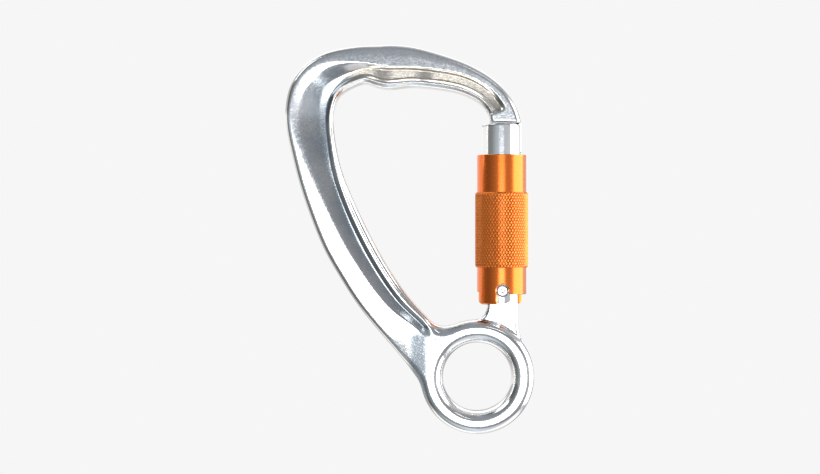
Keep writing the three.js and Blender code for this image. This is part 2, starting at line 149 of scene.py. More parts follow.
PATCH_TOP = (18, 14)  # and, from above, over these

TIP_SWEEP_R = 60.7  # the nose ends on the gate tip's path
SWEEP_HALF, SWEEP_FOOT = 20, 40  # only within this of the hinge sideways, and above this
NOSE_EDGE = 0.7
TONGUE_HALF = 2.0
TONGUE_X = (5.0, 7.1)
TONGUE_FOOT, TONGUE_TOP = 49.75, TIP_SWEEP_R + 3
TONGUE_FREE = 4  # below the nose it may stand this far out of the body's outline
TONGUE_EDGE = 0.4
FORGED_JOIN = 0.5  # fillet where the tongue and the neck run into the body

TANG_HALF = 3.0  # the neck is a thin plate
TANG_EDGE = 1.3
NECK_LEFT, NECK_RIGHT = -5.35, 5.7
NECK_FOOT = -18.0
LEFT_FILLET = (-5.5, 5.6)  # height of the centre, radius
RIGHT_FILLET = (-10.0, 22.0)
RIVET_HOLE_R = 1.58
RIVET_HOLE_EDGE = 0.3
CAM_FREE = 99  # where the cam doesn't limit the neck
CAM_DEG = (-180, -12, 0, 50, 90, 130, 180)  # the neck's top is a cam round the hinge, and 90 degrees is up
CAM_R = (CAM_FREE, CAM_FREE, 5.9, 5.05, 5.0, 7.0, 9.0)

BARREL_R = 7.05
BARREL_TIP_R = 60.4
BARREL_TIP_EDGE = 0.9
EAR_R = 6.0
EAR_CENTRE = 1.3
EAR_EDGE = 0.3
SLOT_HALF = 3.35
SLOT_TOP = 7.6
GROOVE_IN = 4.7
GROOVE_HALF = 2.3
GROOVE_FOOT = 47.5
WAIST_R = 5.4
WAIST = (12.0, 27.0)
WAIST_EDGE = 0.01
CUT_EDGE = 0.35  # rounding of every edge that is cut into the gate and the sleeve
BORE_R = 2.7
BORE_TOP = 32.5
RIVET_SEAT = 6.1
RIVET_RECESS_R = 1.95

RIVET = {"radius": 1.5, "seat": 6.2, "head_r": 1.9, "top": 7.0, "edge": 0.3}
RIVET_RECESS = {"radius": 0.85, "foot": 6.55, "edge": 0.4}
PLUNGER = {"radius": 2.4, "tip": 5.35, "tip_r": 1.2, "cone": 2.4, "top": 12.0, "edge": 0.3}
SPIGOT = {"radius": 1.2, "top": 15.0}  # on top of the plunger, inside the spring
GATE_COIL = {"radius": 1.9, "wire": 0.3, "foot": 12.15, "top": 32.35, "turns": 10}
SLEEVE_COIL = {"radius": 6.3, "wire": 0.45, "foot": 13.85, "top": 26.85, "turns": 5}
RING = {"inner": 5.65, "outer": 7.75, "foot": 12.5, "top": 13.7, "split": 2.0, "edge": 0.2, "split_edge": 0.3}
PIN = {"radius": 1.0, "from": 3.6, "to": 8.1, "z": 31.5, "edge": 0.2}
PIN_DEG = 180  # it points backwards
PIN_HOLE_PLAY, PIN_HOLE_END = 0.05, 0.3  # how much wider and deeper its hole is

SLEEVE_BORE_R = 7.4
SLEEVE_FOOT, SLEEVE_TOP = -5.0, 49.0
SLEEVE_STEP = -1.35
FOOT_EDGE = 1.2  # rounding of the sleeve's lower rim
LOWER_COLLAR_R, UPPER_COLLAR_R = 8.95, 9.0
COLLAR_EDGE = 0.4
KNURL = (8.2, 35.5)
LOWER_COLLAR_TOP = SLEEVE_TOP - 4  # inside the upper collar
UPPER_COLLAR_FOOT = KNURL[1] - 2  # under the knurled band
KNURL_R = 9.6
KNURL_INNER_R = 8.7
KNURL_DEPTH = 0.23
KNURL_STARTS = 51
KNURL_LEAD_DEG = 31
KNURL_PITCH = 2 * math.pi * KNURL_R / KNURL_STARTS / math.tan(math.radians(KNURL_LEAD_DEG))
KNURL_DETAIL = 10  # points from one groove to the next
KNURL_BLUNT = 1.5  # above 1 the diamonds' points are flat on top
KNURL_INSET = 0.05  # of the band's ends
KNURL_CHAMFER, KNURL_CHAMFER_DEPTH = 0.7, 0.42  # the band's ends slope down over this length, by this much
KNURL_WEAR_AND_SHEEN = 1.3  # how pale the diamonds' points are, as wear and a painted highlight
CORE_R, CORE_INSET, CORE_EDGE = 9.2, 0.4, 0.1  # the sleeve's metal under the band
RING_GROOVE_R, RING_PLAY = 8.05, 0.3
PIN_POCKET_R = 8.45
PIN_POCKET_PLAY, PIN_POCKET_PLAY_DEG = 1.4, 11  # room from the pin's axis, besides the sleeve's travel
LIFT = 3.5  # the sleeve's travel
TWIST_DEG = 102
NOTCH_R = 2.35
THROAT_DROP = NOTCH_R * 0.35  # the keyhole's throat starts this far below its centre
NOTCH_FROM_DEG, STEP_FROM_DEG, STEP_TO_DEG = -14.5, 20, 121
WINDOW_HALF, WINDOW_TOP = 3.45, -0.6
TOP_SLOT_HALF, TOP_SLOT_FOOT = 2.45, 42.0

# The boxes that hold the meshes made from fields, from the eye's centre and, after the first, from the hinge.
FORGING_BOX = (-70.0, -6.2, -20.8), (21.0, 6.2, 120.2)
TUBE_BOX = (-7.3, -7.3, -5.0), (7.3, 7.3, 60.8)
SHELL_BOX = (-9.4, -9.4, -5.2), (9.4, 9.4, 49.2)
RING_BOX = (-7.9, -7.9, 12.4), (7.9, 7.9, 13.8)

hinge_low, hinge_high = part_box("hinge_rivet")
hinge = (hinge_low + hinge_high) / 2
eye = hinge - Vector((HINGE_X, 0, HINGE_Z)) * MM

# ---- Distance fields: negative inside a solid -----------------------------------------------------------


def soft_min(a, b, blend):
    """Two solids joined, with a fillet between them."""
    h = np.clip(0.5 + 0.5 * (b - a) / blend, 0, 1)
    return b + (a - b) * h - blend * h * (1 - h)


def soft_max(a, b, blend):
    """What two solids share, with the edge between them rounded."""
    return -soft_min(-a, -b, blend)


def smooth(low, high, value):
    """0 up to low, 1 from high on and an even bend between; high may be the smaller of the two."""
    t = np.clip((value - low) / (high - low), 0, 1)
    return t * t * (3 - 2 * t)


def ramp(t, corner=0.25):
    """0 below 0, 1 above 1 and straight in between, with its two corners rounded off."""
    return soft_min(soft_max(t, 0, corner), 1, corner)


def rounded(flat, height, edge):
    """A plate or ring whose two faces meet in a rounded edge, from its distances to either face."""
    p, q = flat + edge, height + edge
    return np.minimum(np.maximum(p, q), 0) + np.hypot(np.maximum(p, 0), np.maximum(q, 0)) - edge


def span(value, low, high):
    """Distance outside the stretch from low to high."""
    return np.abs(value - (low + high) / 2) - (high - low) / 2


def ring_field(radius, z, inner, outer, foot, top, edge):
    return rounded(span(radius, inner, outer), span(z, foot, top), edge)


def catmull_rom(rows, samples):
    """Points evenly spread over a curve through the rows. The first two columns are the place."""
    rows = np.array(rows, float)
    ends = np.vstack([2 * rows[0] - rows[1], rows, 2 * rows[-1] - rows[-2]])
    t = np.linspace(0, len(rows) - 1, samples * 2)
    i = np.minimum(t.astype(int), len(rows) - 2)
    f = (t - i)[:, None]
    p0, p1, p2, p3 = (ends[i + k] for k in range(4))
    curve = 0.5 * (
        2 * p1 + (p2 - p0) * f + (2 * p0 - 5 * p1 + 4 * p2 - p3) * f**2 + (3 * p1 - 3 * p2 + p3 - p0) * f**3
    )
    length = np.append(0, np.cumsum(np.hypot(*np.diff(curve[:, :2], axis=0).T)))
    even = np.linspace(0, length[-1], samples)
    return np.stack([np.interp(even, length, column) for column in curve.T], 1), length[-1]


def softened(line, width):
    """The same line with its kinks smoothed away; the ends stay."""
    reach = 3 * width
    kernel = np.exp(-0.5 * (np.arange(-reach, reach + 1) / width) ** 2)
    kernel /= kernel.sum()
    before = 2 * line[0] - line[reach:0:-1]
    after = 2 * line[-1] - line[-2 : -reach - 2 : -1]
    padded = np.vstack([before, line, after])
    return np.stack([np.convolve(column, kernel, "valid") for column in padded.T], 1)


line, line_length = catmull_rom(SECTIONS, LINE_SAMPLES)
line = softened(line, LINE_SOFT)
line_step = line_length / (LINE_SAMPLES - 1)
tangent = np.gradient(line[:, :2], axis=0)
tangent /= np.hypot(*tangent.T)[:, None]
line_mm = line[:, :2]


def nearest_on_line(x, z):
    """Where on the centre line each point is: fractional sample number, and side offset, + towards inside."""
    coarse = line_mm[::LINE_COARSE].astype(np.float32)
    best = np.empty(len(x), int)
    for start in range(0, len(x), POINTS_AT_ONCE):
        part = slice(start, start + POINTS_AT_ONCE)
        dx = x[part, None].astype(np.float32) - coarse[:, 0]
        dz = z[part, None].astype(np.float32) - coarse[:, 1]
        best[part] = np.argmin(dx * dx + dz * dz, axis=1) * LINE_COARSE
    for step in (8, 4, 2, 1):
        options = np.clip(best[:, None] + np.array([-step, 0, step]), 0, LINE_SAMPLES - 1)
        distance = (x[:, None] - line_mm[options, 0]) ** 2 + (z[:, None] - line_mm[options, 1]) ** 2
        best = options[np.arange(len(x)), np.argmin(distance, axis=1)]
    dx, dz = x - line_mm[best, 0], z - line_mm[best, 1]
    t = tangent[best]
    ahead = dx * t[:, 0] + dz * t[:, 1]
    side = dz * t[:, 0] - dx * t[:, 1]
    where = np.clip(best + ahead / line_step, 0, LINE_SAMPLES - 1)
    over = np.maximum(np.abs(best + ahead / line_step - where) * line_step, 0)
    return where, np.sign(side) * np.hypot(side, over)


def section_at(where):
    """The section's width, outer band, inner rim, slope and depth at each sample number."""
    samples = np.arange(LINE_SAMPLES)
    return [np.interp(where, samples, column) for column in line[:, 2:].T]


def channel_walls(along, from_outer, from_inner, section):
    """How far down the channel's outer slope and its inner wall each point lies, and the fade at its ends."""
    _, band, rim, slope, _ = section
    start = np.clip((along - CHANNEL_START) / CHANNEL_NOSE, 0, 1)
    closing = CHANNEL_NOSE * (1 - np.sqrt(1 - (1 - start) ** 2))
    ends = smooth(0, 1, start) * smooth(0, CHANNEL_FADE, CHANNEL_END - along)
    corner = np.interp(slope, SLOPE_WIDTHS, SLOPE_CORNERS)
    falling = ramp((from_outer - band - closing) / slope, corner) * ends
    rising = ramp((from_inner - rim - closing) / CHANNEL_WALL)
    return falling, rising, ends


def pocket_lean(along):
    """The slope of the floor across the pocket, which waves along the arm and ends at the corner."""
    turn = 2 * math.pi * (along - POCKET_WAVE_AT) / POCKET_WAVE_LENGTH
    wave = (0.5 + 0.5 * np.cos(turn)) ** POCKET_WAVE_POWER
    wave = wave * smooth(*POCKET_WAVES_FROM, along)
    return (POCKET_TILT - POCKET_WAVE * wave) * (1 - smooth(*POCKET_END, along))


def body_plan(x, z):
    """Distance to the body's outline, and half its thickness, at each point of the X-Z plane."""
    x, z = np.broadcast_arrays(x, z)
    shape = x.shape
    x, z = x.ravel(), z.ravel()
    where, side = nearest_on_line(x, z)
    section = section_at(where)
    width, band, rim, slope, depth = section
    from_outer, from_inner = width / 2 + side, width / 2 - side
    along = where * line_step
    r = np.hypot(x, z)
    inner_side = smooth(-EYE_BLEND_SIDE, EYE_BLEND_SIDE, side)
    blend = EYE_BLEND_OUT + (EYE_BLEND_IN - EYE_BLEND_OUT) * inner_side
    outline = soft_min(np.abs(side) - width / 2, r - EYE_OUTER_R, blend)
    falling, rising, ends = channel_walls(along, from_outer, from_inner, section)
    half = BODY_HALF - depth * falling * rising
    step = 1 - ramp((from_inner - RIM_STEP_AT * rim) / RIM_STEP_WIDTH)
    rim_end = smooth(0, RIM_FADE, CHANNEL_END - along)
    half = half - (RIM_DROP * (1 - rising) + RIM_STEP * step) * smooth(0, 1, falling) * rim_end
    half = half - pocket_lean(along) * (from_outer - band - slope) * falling * rising * ends
    crown = np.clip(1 - from_outer / (BAND_CROWN_SHARE * band), 0, 1) ** 2
    half = half - BAND_CROWN * crown * smooth(*BAND_CROWN_FROM, r)
    half = half - valley(x, z)
    return outline.reshape(shape), half.reshape(shape)


def valley(x, z):
    """How much the body's foot is lowered by the trough beside the eye."""
    left, deepest, right = VALLEY_X
    across = np.minimum(smooth(left, deepest, x), smooth(right, deepest, x))
    return VALLEY * across * smooth(VALLEY_Z[1], VALLEY_Z[0], z)


def trough_shade_and_grain(x, z):
    """How far each point lies in the trough's patch of painted shade and coarse grain: 0 to 1."""
    return smooth(*PATCH_LEFT, x) * smooth(*PATCH_RIGHT, x) * smooth(*PATCH_TOP, z)


def hollows_painted_light(x, z):
    """How deep in the arm's pocket, which gets a painted cream reflection, and in the spine's channel, which
    gets painted shade, each point lies: 0 to 1.
    """
    where, side = nearest_on_line(x, z)
    width, band, rim, slope, _ = section_at(where)
    falling = ramp((width / 2 + side - band) / slope)
    rising = ramp((width / 2 - side - rim) / CHANNEL_WALL)
    along = where * line_step
    start = smooth(0, CHANNEL_NOSE, along - CHANNEL_START)
    hollow = np.sqrt(np.clip(falling, 0, 1)) * rising * start * smooth(0, CHANNEL_FADE, CHANNEL_END - along)
    spine = smooth(*POCKET_END, along)
    return hollow * (1 - spine), hollow * spine


def neck_field(x, y, z):
    """The thin neck on the eye that carries the gate, drawn from the hinge."""
    left_z, left_r = LEFT_FILLET
    right_z, right_r = RIGHT_FILLET
    from_left, from_right = x - (NECK_LEFT - left_r), (NECK_RIGHT + right_r) - x
    left_arc = left_r - np.hypot(np.maximum(from_left, 0), z - left_z) - np.minimum(from_left, 0)
    right_arc = right_r - np.hypot(np.maximum(from_right, 0), z - right_z) - np.minimum(from_right, 0)
    left = np.where(z > left_z, NECK_LEFT - x, left_arc)
    right = np.where(z > right_z, x - NECK_RIGHT, right_arc)
    cam = np.interp(np.degrees(np.arctan2(z, x)), CAM_DEG, CAM_R)
    top = np.hypot(x, z) - cam
    plan = np.maximum(np.maximum(left, right), np.maximum(top, NECK_FOOT - z))
    plate = rounded(plan, np.abs(y) - TANG_HALF, TANG_EDGE)
    return soft_max(plate, RIVET_HOLE_R - np.hypot(x, z), RIVET_HOLE_EDGE)


def tongue_field(x, y, z, outline):
    """The tongue under the nose, which the gate's groove closes over, drawn from the hinge."""
    flat = np.maximum(span(x, *TONGUE_X), span(z, TONGUE_FOOT, TONGUE_TOP))
    flat = np.maximum(flat, outline - TONGUE_FREE * smooth(TIP_SWEEP_R, TIP_SWEEP_R - TONGUE_FREE, z))
    return rounded(flat, np.abs(y) - TONGUE_HALF, TONGUE_EDGE)


def frame_field(x, y, z):
    """The whole forging: the body with its channel, the nose with its tongue, the neck and the eye."""
    outline, half = body_plan(x, z)
    r = np.hypot(x, z)
    edge = BODY_EDGE + (EYE_EDGE - BODY_EDGE) * smooth(*EYE_EDGE_FROM, r)
    forging = rounded(outline, np.abs(y) - half, edge)
    hx, hz = x - HINGE_X, z - HINGE_Z
    swept = np.maximum(np.hypot(hx, hz) - TIP_SWEEP_R, np.maximum(np.abs(hx) - SWEEP_HALF, SWEEP_FOOT - hz))
    solid = soft_max(forging, -swept, NOSE_EDGE)
    solid = soft_min(solid, tongue_field(hx, y, hz, outline), FORGED_JOIN)
    solid = soft_min(solid, neck_field(hx, y, hz), FORGED_JOIN)
    bore = rounded(EYE_BORE_R - r, np.abs(y) - BODY_HALF - MOUTH_RISE, MOUTH_LIP)
    return np.where(r < EYE_OUTER_R, soft_max(solid, bore, MOUTH_JOIN), solid)


def barrel_field(x, y, z):
    """The gate's barrel: rounded tip, clevis ears, tongue groove, waist, bore and rivet holes."""
    r = np.hypot(x, y)
    flat = r - BARREL_R
    stem = soft_max(flat, np.hypot(x, z) - BARREL_TIP_R, BARREL_TIP_EDGE)
    ear = np.hypot(x, np.minimum(z - EAR_CENTRE, 0)) - EAR_R
    stem = np.where(z < SLOT_TOP, soft_max(stem, ear, EAR_EDGE), stem)
    waist = rounded(WAIST_R - r, span(z, *WAIST), WAIST_EDGE)
    slot = np.maximum(np.abs(y) - SLOT_HALF, z - SLOT_TOP)
    groove = np.maximum(np.maximum(GROOVE_IN - x, np.abs(y) - GROOVE_HALF), GROOVE_FOOT - z)
    bore = np.maximum(r - BORE_R, z - BORE_TOP)
    holes = np.hypot(x, z) - np.where(np.abs(y) > RIVET_SEAT, RIVET_RECESS_R, RIVET_HOLE_R)
    pin_hole = np.hypot(x, z - PIN["z"]) - PIN["radius"] - PIN_HOLE_PLAY
    pin_hole = np.maximum(pin_hole, PIN["from"] - PIN_HOLE_END - y)
    for tool in (waist, slot, groove, bore, holes, pin_hole):
        stem = soft_max(stem, -tool, CUT_EDGE)
    return stem


def wedge_field(x, y, from_deg, to_deg):
    """Distance outside a wedge round the gate's axis; 0 degrees faces the front and 90 the outer side."""
    middle = math.radians((from_deg + to_deg) / 2)
    half = math.radians((to_deg - from_deg) / 2)
    ahead = x * math.sin(middle) - y * math.cos(middle)
    across = np.abs(x * math.cos(middle) + y * math.sin(middle))
    return across * math.cos(half) - ahead * math.sin(half)


def sleeve_body(r, z):
    """The sleeve as it is turned: two collars, and between them the core that carries the knurled band."""
    body = ring_field(r, z, SLEEVE_BORE_R, LOWER_COLLAR_R, SLEEVE_FOOT, LOWER_COLLAR_TOP, COLLAR_EDGE)
    upper = ring_field(r, z, SLEEVE_BORE_R, UPPER_COLLAR_R, UPPER_COLLAR_FOOT, SLEEVE_TOP, COLLAR_EDGE)
    core = ring_field(r, z, SLEEVE_BORE_R, CORE_R, KNURL[0] + CORE_INSET, KNURL[1] - CORE_INSET, CORE_EDGE)
    body = np.minimum(np.minimum(body, upper), core)
    over_r = np.maximum(r - LOWER_COLLAR_R + FOOT_EDGE, 0)
    under_foot = np.maximum(SLEEVE_FOOT + FOOT_EDGE - z, 0)
    return np.maximum(body, np.hypot(over_r, under_foot) - FOOT_EDGE)


def top_slot_field(x, y, z):
    """The slot in the upper rim that the tongue passes through once the sleeve is turned."""
    turn = math.radians(TWIST_DEG) - math.pi / 2
    ahead = y * math.cos(turn) - x * math.sin(turn)
    across = x * math.cos(turn) + y * math.sin(turn)
    return np.maximum(np.maximum(np.abs(across) - TOP_SLOT_HALF, -ahead), TOP_SLOT_FOOT - z)


def sleeve_field(x, y, z):
    """The sleeve without its knurl, with the cut-away foot, the keyholes and the pockets inside."""
    r = np.hypot(x, y)
    body = sleeve_body(r, z)
    step = np.maximum(wedge_field(x, y, STEP_FROM_DEG, STEP_TO_DEG), z - SLEEVE_STEP)
    throat = np.maximum(wedge_field(x, y, NOTCH_FROM_DEG, STEP_FROM_DEG + 1), z + THROAT_DROP)
    keyhole = np.hypot(x, z) - NOTCH_R
    back_throat = np.maximum(np.maximum(np.abs(x) - NOTCH_R, -y), z)
    window = np.maximum(np.maximum(x, np.abs(y) - WINDOW_HALF), z - WINDOW_TOP)
    for tool in (step, throat, keyhole, back_throat, window, top_slot_field(x, y, z)):
        body = soft_max(body, -tool, CUT_EDGE)
    ring_groove = np.maximum(r - RING_GROOVE_R, span(z, RING["foot"] - RING_PLAY, RING["top"] + RING_PLAY))
    pocket_z = span(z, PIN["z"] - PIN_POCKET_PLAY - LIFT, PIN["z"] + PIN_POCKET_PLAY)
    pocket_turn = PIN_DEG - PIN_POCKET_PLAY_DEG, PIN_DEG + TWIST_DEG + PIN_POCKET_PLAY_DEG
    pocket = np.maximum(np.maximum(r - PIN_POCKET_R, pocket_z), wedge_field(x, y, *pocket_turn))
    return np.maximum(np.maximum(body, -ring_groove), -pocket)


def seat_ring_field(x, y, z):
    """The split ring in the sleeve's inner groove."""
    r = np.hypot(x, y)
    body = ring_field(r, z, RING["inner"], RING["outer"], RING["foot"], RING["top"], RING["edge"])
    return soft_max(body, -np.maximum(np.abs(y) - RING["split"] / 2, -x), RING["split_edge"])


# ---- Meshes ----------------------------------------------------------------------------------------------

CORNERS = [(0, 0, 0), (1, 0, 0), (0, 1, 0), (0, 0, 1), (1, 1, 0), (1, 0, 1), (0, 1, 1), (1, 1, 1)]
# The twelve edges of a grid cell: one step up along one axis.
EDGES = [
    (a, b) for a in CORNERS for b in CORNERS
    if sum(b) == sum(a) + 1 and all(p <= q for p, q in zip(a, b))
]
GRID_OFFSET = 0.37  # of a cell, so that no flat face falls on the grid
LEAST_SLOPE = 0.05  # the field's squared slope is never taken as less than this
WORN_EDGE = 0.12  # how far an edge stands out of its neighbours, in cells, where it is fully worn


def net(values, low, cell):
    """Surface net of a sampled field: one point in each cell that the surface crosses, four cells a face."""
    inside = values < 0
    shape = np.array(values.shape) - 1
    count = sum(
        inside[i : shape[0] + i, j : shape[1] + j, k : shape[2] + k].astype(np.int8)
        for i in (0, 1) for j in (0, 1) for k in (0, 1)
    )
    cells = np.argwhere((count > 0) & (count < 8))
    index = np.full(tuple(shape), -1)
    index[tuple(cells.T)] = np.arange(len(cells))
    total, hits = np.zeros((len(cells), 3)), np.zeros(len(cells))
    for start, end in EDGES:
        a, b = (values[tuple((cells + corner).T)] for corner in (start, end))
        crossed = (a < 0) != (b < 0)
        t = np.where(crossed, a / np.where(crossed, a - b, 1), 0)[:, None]
        total += np.where(crossed[:, None], np.array(start) + t * (np.array(end) - np.array(start)), 0)
        hits += crossed
    points = np.array(low) + cell * (cells + total / hits[:, None])
    faces = []
    for axis in range(3):
        step = np.eye(3, dtype=int)
        u, v = step[(axis + 1) % 3], step[(axis + 2) % 3]
        front, back = [slice(None)] * 3, [slice(None)] * 3
        front[axis], back[axis] = slice(1, None), slice(None, -1)
        crossed = inside[tuple(back)] != inside[tuple(front)]
        nodes = np.argwhere(crossed)
        quad = np.stack([index[tuple((nodes - o).T)] for o in (u + v, v, 0 * u, u)], 1)
        solid_first = inside[tuple(nodes.T)]
        faces.append(np.where(solid_first[:, None], quad, quad[:, ::-1]))
    return points, np.vstack(faces)


def gradient(field, points, reach=0.01):
    """The field's slope along x, y and z at each point."""
    parts = []
    for axis in range(3):
        offset = np.zeros(3)
        offset[axis] = reach
        parts.append(field(*(points + offset).T) - field(*(points - offset).T))
    return np.stack(parts, 1) / (2 * reach)


def settle(field, points, limit):
    """Moves the points one step towards the surface, each by limit at most."""
    slope = gradient(field, points)
    step = -(field(*points.T) / np.maximum((slope**2).sum(1), LEAST_SLOPE))[:, None] * slope
    size = np.linalg.norm(step, axis=1)[:, None]
    return points + step * np.minimum(1, limit / np.maximum(size, 1e-9))


def neighbour_mean(points, faces):
    """The mean of the points that each point shares an edge with."""
    total, count = np.zeros_like(points), np.zeros(len(points))
    for i in range(4):
        for j in (1, 3):
            np.add.at(total, faces[:, i], points[faces[:, (i + j) % 4]])
            np.add.at(count, faces[:, i], 1)
    return total / np.maximum(count, 1)[:, None]


def surface(field, low, high, cell):
    """The points, faces and normals of a field's surface inside a box."""
    axes = [np.arange(a - cell, b + 2 * cell, cell) + GRID_OFFSET * cell for a, b in zip(low, high)]
    values = field(axes[0][:, None, None], axes[1][None, :, None], axes[2][None, None, :])
    points, faces = net(np.broadcast_to(values, [len(a) for a in axes]), [a[0] for a in axes], cell)
    points = settle(field, points, cell)
    for _ in range(2):
        points = points + 0.5 * (neighbour_mean(points, faces) - points)
        points = settle(field, points, cell / 2)
    points = settle(field, points, cell / 2)
    normals = gradient(field, points)
    return points, faces, normals / np.linalg.norm(normals, axis=1)[:, None]


def mesh_object(name, points, faces, origin, normals=None):
    """An object in the shared frame, from points in millimetres about origin."""
    mesh = bpy.data.meshes.new(name)
    mesh.from_pydata((points * MM + np.array(origin)).tolist(), [], [list(f) for f in faces])
    mesh.validate()
    mesh.update()
    mesh.polygons.foreach_set("use_smooth", [True] * len(mesh.polygons))
    if normals is None:
        mesh.set_sharp_from_angle(angle=math.radians(SHARP_DEG))
    else:
        mesh.normals_split_custom_set_from_vertices(normals.tolist())
    made = bpy.data.objects.new(name, mesh)
    bpy.context.scene.collection.objects.link(made)
    return made


def mark(made, name, values):
    """Stores one number a point for the material to read."""
    layer = made.data.attributes.new(name, "FLOAT", "POINT")
    layer.data.foreach_set("value", np.asarray(values, np.float32))


def bulge(points, faces, normals):
    """How convex the surface is at each point: 0 where flat or hollow, 1 on an edge."""
    lift = ((points - neighbour_mean(points, faces)) * normals).sum(1)
    reach = np.linalg.norm(points[faces[:, 0]] - points[faces[:, 2]], axis=1).mean()
    return np.clip(lift / (WORN_EDGE * reach), 0, 1)


def lattice(rows, columns, closed=False):
    """The faces of a grid of points whose columns run round, and whose last row may join the first."""
    i, j = np.meshgrid(np.arange(rows if closed else rows - 1), np.arange(columns), indexing="ij")
    up, across = (i + 1) % rows, (j + 1) % columns
    faces = np.stack([i * columns + j, i * columns + across, up * columns + across, up * columns + j], 2)
    return faces.reshape(-1, 4)


def implicit_object(name, field, box, cell, origin):
    """An object on a field's surface, marked where its edges are worn."""
    points, faces, normals = surface(field, *box, cell)
    made = mesh_object(name, points, faces, origin, normals)
    mark(made, "edge", bulge(points, faces, normals))
    return made, points


def turned(name, profile, origin, sides=96, axis="z"):
    """A solid of revolution from a closed profile of [radius, distance along the axis]."""
    profile = np.array(profile, float)
    angle = np.linspace(0, 2 * math.pi, sides, endpoint=False)
    r, h = profile[:, 0][:, None], profile[:, 1][:, None] + 0 * angle
    if axis == "z":
        grid = np.stack([r * np.cos(angle), r * np.sin(angle), h], 2)
    else:
        grid = np.stack([r * np.sin(angle), h, r * np.cos(angle)], 2)
    made = mesh_object(name, grid.reshape(-1, 3), lattice(len(profile), sides, closed=True), origin)
    clean(made)
    return made


def clean(made):
    """Merges the points that meet on an axis, drops faces of no area and turns the faces outwards."""
    shape = bmesh.new()
    shape.from_mesh(made.data)
    bmesh.ops.remove_doubles(shape, verts=shape.verts, dist=MERGE)
    bmesh.ops.dissolve_degenerate(shape, edges=shape.edges, dist=MERGE)
    bmesh.ops.recalc_face_normals(shape, faces=shape.faces)
    shape.to_mesh(made.data)
    shape.free()
    made.data.set_sharp_from_angle(angle=math.radians(SHARP_DEG))


def arc(x, z, radius, from_deg, to_deg, steps):
    """Points of a profile along an arc about x, z."""
    angle = np.radians(np.linspace(from_deg, to_deg, steps + 1))
    return [[x + radius * math.cos(a), z + radius * math.sin(a)] for a in angle]


def coil(name, shape, origin, sides=14, steps_a_turn=48):
    """A closed helical wire with flat ends."""
    radius, wire = shape["radius"], shape["wire"]
    steps = shape["turns"] * steps_a_turn
    angle = np.linspace(0, 2 * math.pi * shape["turns"], steps + 1)
    rise = (shape["top"] - shape["foot"] - 2 * wire) / angle[-1]
    z = shape["foot"] + wire + rise * angle
    centre = np.stack([radius * np.cos(angle), radius * np.sin(angle), z], 1)
    out = np.stack([np.cos(angle), np.sin(angle), 0 * angle], 1)
    along = np.stack([-radius * np.sin(angle), radius * np.cos(angle), 0 * angle + rise], 1)
    along /= np.linalg.norm(along, axis=1)[:, None]
    up = np.cross(along, out)
    turn = np.linspace(0, 2 * math.pi, sides, endpoint=False)[:, None]
    grid = centre[:, None] + wire * (np.cos(turn) * out[:, None] + np.sin(turn) * up[:, None])
    caps = [list(range(sides))[::-1], [steps * sides + j for j in range(sides)]]
    made = mesh_object(name, grid.reshape(-1, 3), lattice(steps + 1, sides).tolist() + caps, origin)
    clean(made)
    return made


def knurl_height(u, z):
    """Diamond knurl: two sets of grooves cross, and a blunt point stands between them. 0 to 1."""
    waves = [np.abs(((u + s * z / KNURL_PITCH) % 1.0) * 2 - 1) for s in (-1, 1)]
    return smooth(0, 1, np.minimum(waves[0], waves[1]) * KNURL_BLUNT)


def knurl_band():
    """The knurled band: a closed ring whose outer face carries the diamonds, and how high each point is."""
    columns = KNURL_STARTS * KNURL_DETAIL
    foot, top = KNURL[0] + KNURL_INSET, KNURL[1] - KNURL_INSET
    rows = int(round((top - foot) / (KNURL_PITCH / KNURL_DETAIL)))
    z = np.linspace(foot, top, rows + 1)
    angle = np.linspace(0, 2 * math.pi, columns, endpoint=False)
    height = knurl_height(np.arange(columns)[None, :] / KNURL_DETAIL, z[:, None])
    fade = (smooth(0, KNURL_CHAMFER, z - foot) * smooth(0, KNURL_CHAMFER, top - z))[:, None]
    radius = KNURL_R - KNURL_CHAMFER_DEPTH * (1 - fade) - KNURL_DEPTH * (1 - height) * fade
    inside = np.full(columns, KNURL_INNER_R)
    rings = [inside, *radius, inside]
    heights = [z[0], *z, z[-1]]
    grid = np.stack([
        np.stack([r * np.sin(angle), -r * np.cos(angle), h + 0 * angle], 1)
        for r, h in zip(rings, heights)
    ])
    marks = np.concatenate([np.zeros(columns), (height * fade).ravel(), np.zeros(columns)])
    return grid.reshape(-1, 3), lattice(len(rings), columns, closed=True), marks


# ---- Materials -------------------------------------------------------------------------------------------


# Linear colours
BRIGHT = (0.86, 0.88, 0.90, 1), (0.93, 0.93, 0.93, 1)  # of tumbled aluminium
# painted reflection: a cream tint on the floor of the arm's pocket
POCKET_PAINTED_REFLECTION = (0.82, 0.75, 0.65, 1)
PAINTED_SHADE = (0.49, 0.55, 0.61, 1), (0.68, 0.72, 0.75, 1)  # painted shade: darker blue-grey of the spine's channel and the trough
ORANGE = (0.98, 0.17, 0.010, 1), (1.0, 0.22, 0.014, 1)
# pale orange of worn edges, also a painted highlight on the knurl's diamond points
ORANGE_WEAR_AND_SHEEN = (1.0, 0.45, 0.07, 1)
RIVET_STEEL = (0.86, 0.86, 0.86)
SPRING_STEEL = (0.62, 0.63, 0.65)


